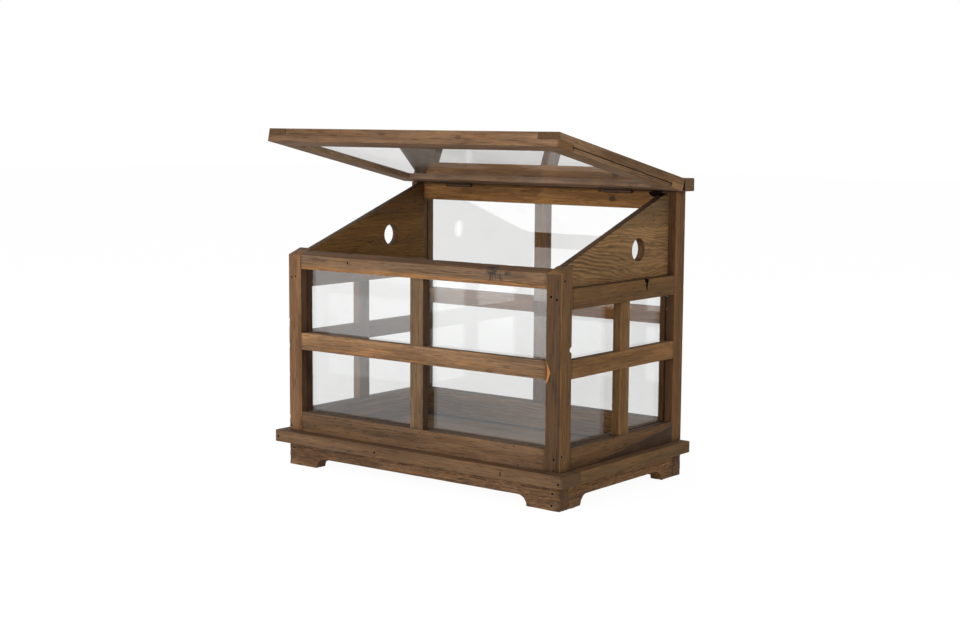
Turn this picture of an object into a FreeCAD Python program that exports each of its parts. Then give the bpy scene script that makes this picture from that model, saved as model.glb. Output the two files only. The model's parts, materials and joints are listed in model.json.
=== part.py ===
import FreeCAD, Part
import os
from itertools import product

# A glazed display cabinet: four posts on a footed plinth, panes in grooved posts behind slim rails
# and muntins, sloping wooden cheeks with a round vent, and a glazed lid hung on two butt hinges.
# Millimetres, +Z up, front towards -Y. The origin is the middle of the footprint, on the ground.
# The lid stands raised, stopped by the ridge strip behind it.

doc = FreeCAD.newDocument("DisplayCabinet")
sheet = doc.addObject("Spreadsheet::Sheet", "Sizes")

sizes = {
    # Carcass, over the posts
    "cabinet_width": 500,
    "cabinet_depth": 310,
    "rear_post_top": 419.7,
    "front_post_top": 319.3,
    "post_side": 25,
    # Plinth
    "apron_height": 35.5,
    "apron_thickness": 20,
    "foot_length": 55,
    "side_foot_length": 51,
    "arch_height": 15,
    "arch_corner_share": 0.96,
    "corner_block_side": 24,
    "corner_block_lift": 4,
    # Base frame and floor
    "strip_thickness": 17.5,
    "strip_overhang": 16,
    "strip_edge_radius": 3,
    "floor_thickness": 7.5,
    "floor_lap": 8,
    "floor_clearance": 0.4,
    # Rails and muntins
    "rail_thickness": 13,
    "bottom_rail_height": 30,
    "middle_rail_level": 177,
    "middle_rail_height": 25.5,
    "front_top_rail_height": 21,
    "side_top_rail_height": 28,
    "back_middle_rail_level": 223.7,
    "back_middle_rail_height": 25,
    "back_top_rail_height": 27,
    "muntin_width": 23.5,
    # Tenons and their mortises
    "tenon_length": 8,
    "tenon_thickness": 6,
    "tenon_shoulder": 5,
    "joint_clearance": 0.1,
    # Panes and their grooves
    "glass_thickness": 3,
    "glass_clearance": 0.3,
    "groove_depth": 6,
    "groove_end_gap": 0.8,
    # Cheeks and their vents
    "cheek_drop": 1.5,
    "vent_diameter": 33,
    "vent_rear_distance": 79,
    "vent_rise": 41,
    # Lid and the ridge strip that stops it
    "lid_front_overhang": 20,
    "lid_side_overhang": 12,
    "lid_thickness": 19.5,
    "lid_member_width": 34,
    "lid_muntin_width": 24,
    "lid_glass_thickness": 2,
    "lid_glass_level": 4,
    "lid_clearance": 0.4,
    "lid_lift_angle": 12.2,
    "lap_share": 0.5,
    "ridge_depth": 25,
    "ridge_height": 19,
    # Butt hinges
    "hinge_inset": 100,
    "hinge_length": 50,
    "leaf_width": 16,
    "leaf_thickness": 1.2,
    "leaf_sink": 0.7,
    "barrel_radius": 2.5,
    "knuckle_share": 0.34,
    "knuckle_gap": 0.3,
    "pin_radius": 1.2,
    "pin_fit": 0.03,
    "pivot_drop": 2.7,
    # Hinge screws
    "screw_radius": 1.2,
    "screw_length": 9,
    "screw_head_radius": 2.4,
    "screw_head_height": 0.9,
    "screw_spacing": 32,
    "screw_clearance": 0.05,
    # Nails
    "nail_radius": 0.9,
    "nail_sink": 0.5,
    "nail_clearance": 0.05,
    "post_nail_length": 40,
    "strip_nail_length": 62,
    "apron_nail_length": 40,
    "nail_end_distance": 9,
    # How far every cutting tool runs past what it cuts
    "overrun": 5,
}
nail_side_shares = (0.18, 0.42)
nail_height_shares = (0.32, 0.7)
strip_nail_shares = (-0.3, 0.2)

for row, (name, value) in enumerate(sizes.items(), start=1):
    sheet.set(f"A{row}", name)
    sheet.set(f"B{row}", str(value))
    sheet.setAlias(f"B{row}", name)
doc.recompute()

# Places that several pieces share, as expressions of the sizes
half_width = "(Sizes.cabinet_width / 2)"
half_depth = "(Sizes.cabinet_depth / 2)"
clear_width = f"({half_width} - Sizes.post_side)"
clear_depth = f"({half_depth} - Sizes.post_side)"
base_top = "(Sizes.apron_height + Sizes.strip_thickness)"
front_rail_low = "(Sizes.front_post_top - Sizes.front_top_rail_height)"
side_rail_low = f"({front_rail_low} - Sizes.side_top_rail_height)"
back_rail_low = "(Sizes.rear_post_top - Sizes.back_top_rail_height)"
bottom_rail_top = f"({base_top} + Sizes.bottom_rail_height)"
tenon_near = "((Sizes.rail_thickness - Sizes.tenon_thickness) / 2)"
tenon_far = f"({tenon_near} + Sizes.tenon_thickness)"
groove_far = "(Sizes.rail_thickness + Sizes.glass_thickness + 2 * Sizes.glass_clearance)"
pane_bite = "(Sizes.groove_depth - Sizes.groove_end_gap)"

# The hinge axis lies off the back rail's face and off the lid's underside by the same offset,
# and the seat that the closed lid comes down to runs from the front edge to just above that axis
axis_offset = "(Sizes.barrel_radius + Sizes.lid_clearance)"
axis_y = f"({clear_depth} - {axis_offset})"
axis_z = "(Sizes.rear_post_top - Sizes.pivot_drop)"
seat_run = f"({axis_y} + {half_depth})"
seat_drop = f"({axis_z} - Sizes.front_post_top)"
seat_reach = f"sqrt({seat_run} ^ 2 + {seat_drop} ^ 2)"
slope = f"(atan({seat_drop} / {seat_run}) + asin(Sizes.barrel_radius / {seat_reach}))"

sides = {"left": "-", "right": "+"}
ends = {"front": "-", "rear": "+"}
nodes = []


def block(name, x, y, z):
    box = doc.addObject("Part::Box", name)
    for side, axis, (low, high) in zip(("Length", "Width", "Height"), "xyz", (x, y, z)):
        box.setExpression(side, f"{high} - ({low})")
        box.setExpression(f"Placement.Base.{axis}", f"{low}")
    return box


def rod(name, axis, radius, span, across):
    bar = doc.addObject("Part::Cylinder", name)
    low, high = span
    turns = {
        "x": FreeCAD.Rotation(FreeCAD.Vector(0, 1, 0), 90),
        "y": FreeCAD.Rotation(FreeCAD.Vector(-1, 0, 0), 90),
        "z": FreeCAD.Rotation(),
    }
    bar.Placement = FreeCAD.Placement(FreeCAD.Vector(), turns[axis])
    bar.setExpression("Radius", radius)
    bar.setExpression("Height", f"{high} - ({low})")
    bar.setExpression(f"Placement.Base.{axis}", f"{low}")
    for other, place in zip("xyz".replace(axis, ""), across):
        bar.setExpression(f"Placement.Base.{other}", place)
    return bar


def join(name, pieces):
    if len(pieces) == 1:
        return pieces[0]
    fused = doc.addObject("Part::MultiFuse", name)
    fused.Shapes = pieces
    fused.Refine = True
    return fused


def carve(name, piece, tools):
    cut = doc.addObject("Part::Cut", name)
    cut.Base = piece
    cut.Tool = join(f"{name}_tools", tools)
    return cut


def group(name, pieces):
    bundle = doc.addObject("Part::Compound", name)
    bundle.Links = pieces
    return bundle


def keep(label, piece):
    piece.Label = label
    nodes.append(piece)


def both_ways(half):
    return (f"-({half})", f"{half}")


def mirrored(sign, near, far):
    # A span on the plus side of the middle, or its mirror image on the minus side
    return (near, far) if sign == "+" else (f"-({far})", f"-({near})")


def grown(span, margin):
    return (f"{span[0]} - {margin}", f"{span[1]} + {margin}")


def eased(name, x, y, z, is_eased):
    # A board with some of its edges rounded: is_eased picks them by the edge's middle point
    body = doc.addObject("PartDesign::Body", name)
    board = body.newObject("PartDesign::AdditiveBox", f"{name}_board")
    for side, axis, (low, high) in zip(("Length", "Width", "Height"), "xyz", (x, y, z)):
        board.setExpression(side, f"{high} - ({low})")
        body.setExpression(f"Placement.Base.{axis}", f"{low}")
    doc.recompute()
    middles = [edge.CenterOfMass for edge in board.Shape.Edges]
    size = FreeCAD.Vector(board.Length.Value, board.Width.Value, board.Height.Value)
    picked = [f"Edge{i}" for i, middle in enumerate(middles, start=1) if is_eased(middle, size)]
    rounding = body.newObject("PartDesign::Fillet", f"{name}_rounding")
    rounding.Base = (board, picked)
    rounding.setExpression("Radius", "Sizes.strip_edge_radius")
    return body


def seat_cut(name, drop):
    # Everything above the plane that lies this far under the closed lid
    lift = f"({axis_offset} - ({drop}))"
    reach = "(2 * Sizes.cabinet_depth)"
    tool = doc.addObject("Part::Box", name)
    tool.Placement = FreeCAD.Placement(FreeCAD.Vector(), FreeCAD.Rotation(FreeCAD.Vector(1, 0, 0), 1))
    tool.setExpression("Placement.Rotation.Angle", slope)
    tool.setExpression("Length", "Sizes.cabinet_width")
    tool.setExpression("Width", f"2 * {reach}")
    tool.setExpression("Height", "Sizes.rear_post_top")
    tool.setExpression("Placement.Base.x", f"-{half_width}")
    tool.setExpression("Placement.Base.y", f"{axis_y} - {lift} * sin({slope}) - {reach} * cos({slope})")
    tool.setExpression("Placement.Base.z", f"{axis_z} + {lift} * cos({slope}) - {reach} * sin({slope})")
    return tool


def hang_on_lid(piece):
    # Lid pieces are made flat about the hinge axis, then raised with it
    turn = FreeCAD.Rotation(FreeCAD.Vector(-1, 0, 0), 1)
    piece.Placement = FreeCAD.Placement(FreeCAD.Vector(), turn)
    piece.setExpression("Placement.Base.y", axis_y)
    piece.setExpression("Placement.Base.z", axis_z)
    piece.setExpression("Placement.Rotation.Angle", "Sizes.lid_lift_angle")
    return piece


seat = seat_cut("seat", "Sizes.lid_clearance")
cheek_seat = seat_cut("cheek_seat", "Sizes.lid_clearance + Sizes.cheek_drop")

# The walls: how far out each one's face is and on which side, how far its rails run from the middle,
# and its rows of rails, each with its underside, top and depth
bottom_row = (base_top, bottom_rail_top, "Sizes.post_side")
middle_top = "(Sizes.middle_rail_level + Sizes.middle_rail_height)"
middle_row = ("Sizes.middle_rail_level", middle_top, "Sizes.rail_thickness")
back_middle_top = "(Sizes.back_middle_rail_level + Sizes.back_middle_rail_height)"
rows = {
    "front": {
        "bottom": bottom_row,
        "middle": middle_row,
        "top": (front_rail_low, "Sizes.front_post_top", groove_far),
    },
    "back": {
        "bottom": bottom_row,
        "middle": ("Sizes.back_middle_rail_level", back_middle_top, "Sizes.rail_thickness"),
        "top": (back_rail_low, "Sizes.rear_post_top", "Sizes.post_side"),
    },
    "left": {
        "bottom": bottom_row,
        "middle": middle_row,
        "top": (side_rail_low, front_rail_low, "Sizes.post_side"),
    },
}
rows["right"] = rows["left"]
wall_signs = {"front": "-", "back": "+", "left": "-", "right": "+"}
wall_faces = {"front": half_depth, "back": half_depth, "left": half_width, "right": half_width}
wall_runs = {"front": clear_width, "back": clear_width, "left": clear_depth, "right": clear_depth}


def wall_block(name, wall, along, inward, upward):
    # A block in a wall's own directions: along the wall, inwards from its outer face, and up
    near, far = inward
    face = wall_faces[wall]
    across = mirrored(wall_signs[wall], f"{face} - ({far})", f"{face} - ({near})")
    x, y = (across, along) if wall in sides else (along, across)
    return block(name, x, y, upward)


# Nails: through the front posts into the side rails, through the front strip into the side strips
# and the floor's edge, and through the front and rear aprons into the side aprons
nails = {"post": [], "strip": [], "apron": []}
nail_holes = {"post": [], "strip": [], "apron": []}


def nail(kind, sign, face, x, z):
    name = f"{kind}_nail_{len(nails[kind])}"
    point = f"{face} - Sizes.{kind}_nail_length"
    length = mirrored(sign, point, f"{face} - Sizes.nail_sink")
    hole = mirrored(sign, point, f"{face} + Sizes.overrun")
    hole_radius = "Sizes.nail_radius + Sizes.nail_clearance"
    nails[kind].append(rod(name, "y", "Sizes.nail_radius", length, (x, z)))
    nail_holes[kind].append(rod(f"{name}_hole", "y", hole_radius, hole, (x, z)))


for sign, row in product(sides.values(), ("bottom", "top")):
    low, high, _ = rows["left"][row]
    for side_share, height_share in zip(nail_side_shares, nail_height_shares):
        x = f"{sign}({half_width} - Sizes.post_side * {side_share})"
        nail("post", "-", half_depth, x, f"{low} + ({high} - {low}) * {height_share}")

strip_side = f"({half_width} + Sizes.strip_overhang)"
strip_front = f"({half_depth} + Sizes.strip_overhang)"
for sign, count in product(sides.values(), (1, 2)):
    x = f"{sign}({strip_side} - Sizes.nail_end_distance * {count})"
    nail("strip", "-", strip_front, x, "Sizes.apron_height + Sizes.strip_thickness / 2")
for share in strip_nail_shares:
    x = f"Sizes.cabinet_width * {share}"
    nail("strip", "-", strip_front, x, "Sizes.apron_height + Sizes.floor_thickness / 2")

for end, sign, share in product(ends.values(), sides.values(), nail_height_shares):
    x = f"{sign}({half_width} - Sizes.apron_thickness / 2)"
    nail("apron", end, half_depth, x, f"Sizes.apron_height * {share}")

# Hinge places and screws: the cabinet's leaf is let into the back rail's top, under the ridge strip,
# and the lid's leaf lies under the lid's rear rail, whose own places are flat about the hinge axis
hinge_middles = {side: f"{sign}({half_width} - Sizes.hinge_inset)" for side, sign in sides.items()}
half_hinge = "Sizes.hinge_length / 2"
leaf_top = "(Sizes.rear_post_top - Sizes.leaf_sink)"
leaf_z = (f"({leaf_top} - Sizes.leaf_thickness)", leaf_top)
leaf_back = f"({axis_y} + Sizes.leaf_width)"
lid_leaf_low = f"({axis_offset} - Sizes.leaf_thickness)"
lid_leaf_z = (lid_leaf_low, axis_offset)
screw_row = "((Sizes.leaf_width + Sizes.barrel_radius + Sizes.knuckle_gap) / 2)"
screws = {"cabinet": [], "lid": []}
screw_holes = {"cabinet": [], "lid": []}
leaf_pockets = []


def screw(leaf, sign, face, x, y):
    name = f"screw_{leaf}_{len(screws[leaf])}"
    neck = f"{face} {sign} Sizes.screw_head_height"
    point = f"{face} {sign} Sizes.screw_length"
    head = (face, neck) if sign == "+" else (neck, face)
    shank = (neck, point) if sign == "+" else (point, neck)
    pieces = [
        rod(f"{name}_head", "z", "Sizes.screw_head_radius", head, (x, y)),
        rod(f"{name}_shank", "z", "Sizes.screw_radius", shank, (x, y)),
    ]
    sink_radius = "Sizes.screw_head_radius + Sizes.screw_clearance"
    hole_radius = "Sizes.screw_radius + Sizes.screw_clearance"
    screws[leaf].append(join(name, pieces))
    screw_holes[leaf].append(rod(f"{name}_sink", "z", sink_radius, head, (x, y)))
    screw_holes[leaf].append(rod(f"{name}_hole", "z", hole_radius, shank, (x, y)))


for side, middle in hinge_middles.items():
    for sign in "-+":
        x = f"{middle} {sign} Sizes.screw_spacing / 2"
        screw("cabinet", "-", leaf_top, x, f"{axis_y} + {screw_row}")
        screw("lid", "+", lid_leaf_low, x, f"-{screw_row}")
    pocket = block(
        f"{side}_leaf_pocket",
        grown(grown((middle, middle), half_hinge), "Sizes.joint_clearance"),
        (axis_y, f"{leaf_back} + Sizes.joint_clearance"),
        (f"{leaf_z[0]} - Sizes.joint_clearance", "Sizes.rear_post_top + Sizes.overrun"),
    )
    leaf_pockets.append(pocket)


# Plinth: the front and rear aprons run full width, the side aprons butt between them, and each is
# cut away between its feet in an arch with round upper corners
def apron(label, wall, half_run, foot):
    thick = ("0", "Sizes.apron_thickness")
    through = grown(thick, "Sizes.overrun")
    half_arch = f"({half_run} - {foot})"
    radius = "(Sizes.arch_height * Sizes.arch_corner_share)"
    spring = f"(Sizes.arch_height - {radius})"
    crown = both_ways(f"{half_arch} - {radius}")
    board = wall_block(f"{label}_board", wall, both_ways(half_run), thick, ("0", "Sizes.apron_height"))
    tools = [
        wall_block(f"{label}_arch", wall, both_ways(half_arch), through, ("-Sizes.overrun", spring)),
        wall_block(f"{label}_crown", wall, crown, through, ("-Sizes.overrun", "Sizes.arch_height")),
    ]
    face = wall_faces[wall]
    span = mirrored(wall_signs[wall], f"{face} - ({through[1]})", f"{face} + Sizes.overrun")
    axis = "x" if wall in sides else "y"
    for sign in "-+":
        centre = (f"{sign}({half_arch} - {radius})", spring)
        tools.append(rod(f"{label}_corner_{len(tools)}", axis, radius, span, centre))
    keep(label, carve(f"{label}_cut", board, tools + nail_holes["apron"]))


inner_x = f"({half_width} - Sizes.apron_thickness)"
inner_y = f"({half_depth} - Sizes.apron_thickness)"
apron("apron_front", "front", half_width, "Sizes.foot_length")
apron("apron_rear", "back", half_width, "Sizes.foot_length")
for side in sides:
    apron(f"apron_{side}", side, inner_y, "(Sizes.side_foot_length - Sizes.apron_thickness)")

corners = list(product(ends, sides))
for end, side in corners:
    x = mirrored(sides[side], f"{inner_x} - Sizes.corner_block_side", inner_x)
    y = mirrored(ends[end], f"{inner_y} - Sizes.corner_block_side", inner_y)
    glue_block = block(f"glue_block_{end}_{side}", x, y, ("Sizes.corner_block_lift", "Sizes.apron_height"))
    keep(f"corner_block_{end}_{side}", glue_block)


# Base frame: a front strip across both side strips, a rear strip between them, and the floor
# lying in a rebate cut along their lower inside edges
def is_level(middle, size):
    return abs(middle.z - size.z / 2) > size.z / 4


def at_front(middle, size):
    at_end = abs(middle.x - size.x / 2) > size.x / 4
    return middle.y < size.y / 4 or (at_end and is_level(middle, size))


def at_left(middle, size):
    return middle.x < size.x / 4 and is_level(middle, size)


def at_right(middle, size):
    return middle.x > size.x * 3 / 4 and is_level(middle, size)


strip_z = ("Sizes.apron_height", base_top)
side_strip_y = (f"-{clear_depth}", half_depth)
left_strip_x = mirrored("-", clear_width, strip_side)
front_strip_y = mirrored("-", clear_depth, strip_front)
strips = {
    "front": eased("front_strip", both_ways(strip_side), front_strip_y, strip_z, at_front),
    "left": eased("left_strip", left_strip_x, side_strip_y, strip_z, at_left),
    "right": eased("right_strip", (clear_width, strip_side), side_strip_y, strip_z, at_right),
    "rear": block("rear_strip", both_ways(clear_width), (clear_depth, half_depth), strip_z),
}
rebate_x = f"{clear_width} + Sizes.floor_lap"
rebate_y = f"{clear_depth} + Sizes.floor_lap"
floor_top = "Sizes.apron_height + Sizes.floor_thickness"
rebate_z = ("Sizes.apron_height - Sizes.overrun", floor_top)
rebate = block("floor_rebate", both_ways(rebate_x), both_ways(rebate_y), rebate_z)
for place, strip in strips.items():
    keep(f"base_strip_{place}", carve(f"base_strip_{place}_cut", strip, [rebate] + nail_holes["strip"]))
floor = block(
    "floor_board",
    both_ways(f"{rebate_x} - Sizes.floor_clearance"),
    both_ways(f"{rebate_y} - Sizes.floor_clearance"),
    ("Sizes.apron_height", f"{floor_top} - Sizes.floor_clearance"),
)
keep("floor_panel", carve("floor_panel_cut", floor, nail_holes["strip"]))


# Walls: three rails tenoned into the posts, a muntin halved across the middle rail and tenoned
# into the other two, and one pane behind them
def tenon(name, wall, row, margin):
    low, high, _ = rows[wall][row]
    height = (f"{low} + Sizes.tenon_shoulder", f"{high} - Sizes.tenon_shoulder")
    run = both_ways(f"{wall_runs[wall]} + Sizes.tenon_length + {margin}")
    return wall_block(name, wall, run, grown((tenon_near, tenon_far), margin), grown(height, margin))


def muntin_tenon(name, wall, margin):
    low = f"{rows[wall]['bottom'][1]} - Sizes.tenon_length"
    high = f"{rows[wall]['top'][0]} + Sizes.tenon_length"
    across = both_ways(f"Sizes.muntin_width / 2 - Sizes.tenon_shoulder + {margin}")
    return wall_block(name, wall, across, grown((tenon_near, tenon_far), margin), grown((low, high), margin))


def pane_groove(name, wall, top):
    run = both_ways(f"{wall_runs[wall]} + Sizes.groove_depth")
    up = (f"{bottom_rail_top} - Sizes.groove_depth", top)
    return wall_block(name, wall, run, ("Sizes.rail_thickness", groove_far), up)


def wall_rails(wall):
    halving = wall_block(
        f"{wall}_rail_halving",
        wall,
        half_muntin,
        (half_rail, "Sizes.rail_thickness + Sizes.overrun"),
        grown(rows[wall]["middle"][:2], "Sizes.overrun"),
    )
    mortise = muntin_tenon(f"{wall}_muntin_mortise", wall, "Sizes.joint_clearance")
    extra_tools = {"front_top_rail": [seat], "back_top_rail": leaf_pockets + screw_holes["cabinet"]}
    for row, (low, high, depth) in rows[wall].items():
        label = f"{wall}_{row}_rail"
        stock_top = "Sizes.rear_post_top" if label == "front_top_rail" else high
        bar = wall_block(f"{label}_bar", wall, both_ways(wall_runs[wall]), ("0", depth), (low, stock_top))
        rail = join(f"{label}_joined", [bar, tenon(f"{label}_tenon", wall, row, "0")])
        tools = [halving] if row == "middle" else [mortise, grooves[wall]]
        tools += extra_tools.get(label, [])
        if wall in sides and row != "middle":
            tools += nail_holes["post"]
        keep(label, carve(f"{label}_cut", rail, tools))


def wall_muntin(wall):
    low = rows[wall]["bottom"][1]
    high = rows[wall]["top"][0]
    bar = wall_block(f"{wall}_muntin_bar", wall, half_muntin, ("0", "Sizes.rail_thickness"), (low, high))
    upright = join(f"{wall}_muntin_joined", [bar, muntin_tenon(f"{wall}_muntin_tenon", wall, "0")])
    halving = wall_block(
        f"{wall}_muntin_halving",
        wall,
        grown(half_muntin, "Sizes.overrun"),
        ("-Sizes.overrun", half_rail),
        rows[wall]["middle"][:2],
    )
    keep(f"{wall}_muntin", carve(f"{wall}_muntin_cut", upright, [halving]))
    run = both_ways(f"{wall_runs[wall]} + {pane_bite}")
    pane_z = grown((low, high), pane_bite)
    keep(f"{wall}_glass", wall_block(f"{wall}_pane", wall, run, pane_inward, pane_z))


half_muntin = both_ways("Sizes.muntin_width / 2")
half_rail = "Sizes.rail_thickness / 2"
pane_near = "Sizes.rail_thickness + Sizes.glass_clearance"
pane_inward = (pane_near, f"{pane_near} + Sizes.glass_thickness")
grooves = {}
mortises = {}
for wall in rows:
    grooves[wall] = pane_groove(f"{wall}_groove", wall, f"{rows[wall]['top'][0]} + Sizes.groove_depth")
    mortises[wall] = []
    for row in rows[wall]:
        mortises[wall].append(tenon(f"{wall}_{row}_mortise", wall, row, "Sizes.joint_clearance"))
    wall_rails(wall)
    wall_muntin(wall)

# Posts, mortised and grooved for the two walls that meet at each
past_posts = "Sizes.rear_post_top + Sizes.overrun"
long_grooves = {side: pane_groove(f"{side}_post_groove", side, past_posts) for side in sides}
end_walls = {"front": "front", "rear": "back"}
for end, side in corners:
    end_wall = end_walls[end]
    x = mirrored(sides[side], clear_width, half_width)
    y = mirrored(ends[end], clear_depth, half_depth)
    stock = block(f"post_{end}_{side}_stock", x, y, (base_top, "Sizes.rear_post_top"))
    tools = mortises[end_wall] + mortises[side] + [grooves[end_wall], long_grooves[side]]
    if end == "front":
        tools += [seat] + nail_holes["post"]
    keep(f"post_{end}_{side}", carve(f"post_{end}_{side}_cut", stock, tools))

# Cheeks: boards on the side top rails, tongued into the posts' grooves, sloped under the lid
vent_place = (f"{clear_depth} - Sizes.vent_rear_distance", f"{front_rail_low} + Sizes.vent_rise")
cheek_inward = ("Sizes.rail_thickness", "Sizes.post_side")
cheek_z = (front_rail_low, "Sizes.rear_post_top")
tongue_run = both_ways(f"{clear_depth} + {pane_bite}")
for side in sides:
    board = wall_block(f"{side}_cheek_board", side, both_ways(clear_depth), cheek_inward, cheek_z)
    tongue = wall_block(f"{side}_cheek_tongue", side, tongue_run, pane_inward, cheek_z)
    vent = rod(f"{side}_vent", "x", "Sizes.vent_diameter / 2", both_ways(half_width), vent_place)
    cheek = join(f"{side}_cheek_joined", [board, tongue])
    keep(f"{side}_cheek", carve(f"{side}_cheek_cut", cheek, [cheek_seat, vent]))

# Ridge strip on the rear posts and back rail: its front face stops the lid's rear edge
lid_half = f"({half_width} + Sizes.lid_side_overhang)"
ridge_front = f"({clear_depth} + Sizes.lid_thickness * sin(Sizes.lid_lift_angle))"
ridge_z = ("Sizes.rear_post_top", "Sizes.rear_post_top + Sizes.ridge_height")
ridge_y = (ridge_front, f"{ridge_front} + Sizes.ridge_depth")
keep("ridge_strip", block("ridge", both_ways(lid_half), ridge_y, ridge_z))

# Lid, flat about the hinge axis: a half-lapped frame, a muntin over the pane, and a bead under the
# right stile that leaves the slot the pane slides in through
lift_sine = "sin(Sizes.lid_lift_angle)"
lift_cosine = "cos(Sizes.lid_lift_angle)"
lid_rear = f"((Sizes.barrel_radius - {axis_offset} * {lift_sine}) / {lift_cosine})"
closed_run = f"({seat_run} + Sizes.lid_front_overhang - {axis_offset} * sin({slope}))"
lid_front = f"(-{closed_run} / cos({slope}))"
rear_inside = f"({lid_rear} - Sizes.lid_member_width)"
front_inside = f"({lid_front} + Sizes.lid_member_width)"
side_inside = f"({lid_half} - Sizes.lid_member_width)"
lid_low = axis_offset
lid_top = f"({axis_offset} + Sizes.lid_thickness)"
lap_level = f"({axis_offset} + Sizes.lid_thickness * Sizes.lap_share)"
slot_low = f"({axis_offset} + Sizes.lid_glass_level)"
slot_top = f"({slot_low} + Sizes.lid_glass_thickness + 2 * Sizes.glass_clearance)"
tongue_low = f"({slot_top} + ({lid_top} - {slot_top} - Sizes.tenon_thickness) / 2)"
open_y = (front_inside, rear_inside)


def lid_tenon(name, margin):
    x = both_ways(f"Sizes.lid_muntin_width / 2 - Sizes.tenon_shoulder + {margin}")
    y = grown(grown(open_y, "Sizes.tenon_length"), margin)
    z = grown((tongue_low, f"{tongue_low} + Sizes.tenon_thickness"), margin)
    return block(name, x, y, z)


lid_mortise = lid_tenon("lid_mortise", "Sizes.joint_clearance")
rail_groove = block(
    "lid_rail_groove",
    both_ways(f"{lid_half} + Sizes.overrun"),
    grown(open_y, "Sizes.groove_depth"),
    (slot_low, slot_top),
)
left_groove = block(
    "lid_left_groove",
    (f"-{side_inside} - Sizes.groove_depth", f"-{side_inside} + Sizes.overrun"),
    (lid_front, lid_rear),
    (slot_low, slot_top),
)
lid_rails = {
    "front": ((lid_front, front_inside), [rail_groove, lid_mortise]),
    "rear": ((rear_inside, lid_rear), [rail_groove, lid_mortise] + screw_holes["lid"]),
}
for place, (y, tools) in lid_rails.items():
    label = f"lid_{place}_rail"
    laps = block(f"{label}_laps", both_ways(lid_half), y, (lid_low, lap_level))
    middle = block(f"{label}_middle", both_ways(side_inside), y, (lid_low, lid_top))
    keep(label, hang_on_lid(carve(f"{label}_cut", join(f"{label}_joined", [laps, middle]), tools)))
stile_lows = {"left": lid_low, "right": slot_top}
for side, sign in sides.items():
    label = f"lid_{side}_stile"
    x = mirrored(sign, side_inside, lid_half)
    laps = block(f"{label}_laps", x, (lid_front, lid_rear), (lap_level, lid_top))
    middle = block(f"{label}_middle", x, open_y, (stile_lows[side], lid_top))
    stile = join(f"{label}_joined", [laps, middle])
    if side == "left":
        stile = carve(f"{label}_cut", stile, [left_groove])
    keep(label, hang_on_lid(stile))
bead = block("lid_bead", (side_inside, lid_half), open_y, (lid_low, slot_low))
keep("lid_glass_bead", hang_on_lid(group("lid_bead_piece", [bead])))
bar = block("lid_muntin_bar", both_ways("Sizes.lid_muntin_width / 2"), open_y, (slot_top, lid_top))
keep("lid_muntin", hang_on_lid(join("lid_muntin_joined", [bar, lid_tenon("lid_muntin_tenon", "0")])))
lid_pane = block(
    "lid_pane",
    (f"-{side_inside} - {pane_bite}", f"{lid_half} - Sizes.groove_end_gap"),
    grown(open_y, pane_bite),
    (f"{slot_low} + Sizes.glass_clearance", f"{slot_top} - Sizes.glass_clearance"),
)
keep("lid_glass", hang_on_lid(group("lid_pane_piece", [lid_pane])))

# Hinges: two outer knuckles on the cabinet's leaf, one between them on the lid's leaf, one pin
half_knuckle = "Sizes.hinge_length * Sizes.knuckle_share / 2"
barrel_clear = "(Sizes.barrel_radius + Sizes.knuckle_gap)"
bore_radius = "Sizes.pin_radius + Sizes.pin_fit"
pin_line = (axis_y, axis_z)
lid_pin_line = ("0", "0")
for side, middle in hinge_middles.items():
    whole = grown((middle, middle), half_hinge)
    inner = grown((middle, middle), half_knuckle)
    past = grown(whole, "Sizes.overrun")
    gap_low, gap_high = grown(inner, "Sizes.knuckle_gap")
    label = f"{side}_hinge_leaf_cabinet"
    pieces = [block(f"{label}_plate", whole, (f"{axis_y} + {barrel_clear}", leaf_back), leaf_z)]
    for span in ((whole[0], gap_low), (gap_high, whole[1])):
        pieces.append(block(f"{label}_ear_{len(pieces)}", span, (axis_y, leaf_back), leaf_z))
        pieces.append(rod(f"{label}_knuckle_{len(pieces)}", "x", "Sizes.barrel_radius", span, pin_line))
    bore = rod(f"{label}_bore", "x", bore_radius, past, pin_line)
    leaf = join(f"{label}_joined", pieces)
    keep(label, carve(f"{label}_cut", leaf, [bore] + screw_holes["cabinet"]))
    label = f"{side}_hinge_leaf_lid"
    pieces = [
        block(f"{label}_plate", whole, ("-Sizes.leaf_width", f"-{barrel_clear}"), lid_leaf_z),
        block(f"{label}_ear", inner, ("-Sizes.leaf_width", "0"), lid_leaf_z),
        rod(f"{label}_knuckle", "x", "Sizes.barrel_radius", inner, lid_pin_line),
    ]
    bore = rod(f"{label}_bore", "x", bore_radius, past, lid_pin_line)
    leaf = join(f"{label}_joined", pieces)
    keep(label, hang_on_lid(carve(f"{label}_cut", leaf, [bore] + screw_holes["lid"])))
    keep(f"{side}_hinge_pin", rod(f"{side}_pin", "x", "Sizes.pin_radius", whole, pin_line))

keep("hinge_screws_cabinet", group("screws_cabinet", screws["cabinet"]))
keep("hinge_screws_lid", hang_on_lid(group("screws_lid", screws["lid"])))
for kind, pieces in nails.items():
    keep(f"{kind}_nails", group(f"{kind}_nail_group", pieces))

doc.recompute()
failed = [item.Label for item in doc.Objects if {"Invalid", "Error"} & set(item.State)]
broken = [piece.Label for piece in nodes if piece.Shape.isNull() or not piece.Shape.isValid()]
if failed or broken:
    raise RuntimeError(f"failed: {failed}, broken: {broken}")

os.makedirs("parts", exist_ok=True)
for piece in nodes:
    piece.Shape.exportStep(f"parts/{piece.Label}.step")
print(len(nodes), "nodes written")
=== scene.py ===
import bpy
import bmesh
import json
import math
import random
from mathutils import Matrix, Vector, noise

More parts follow.
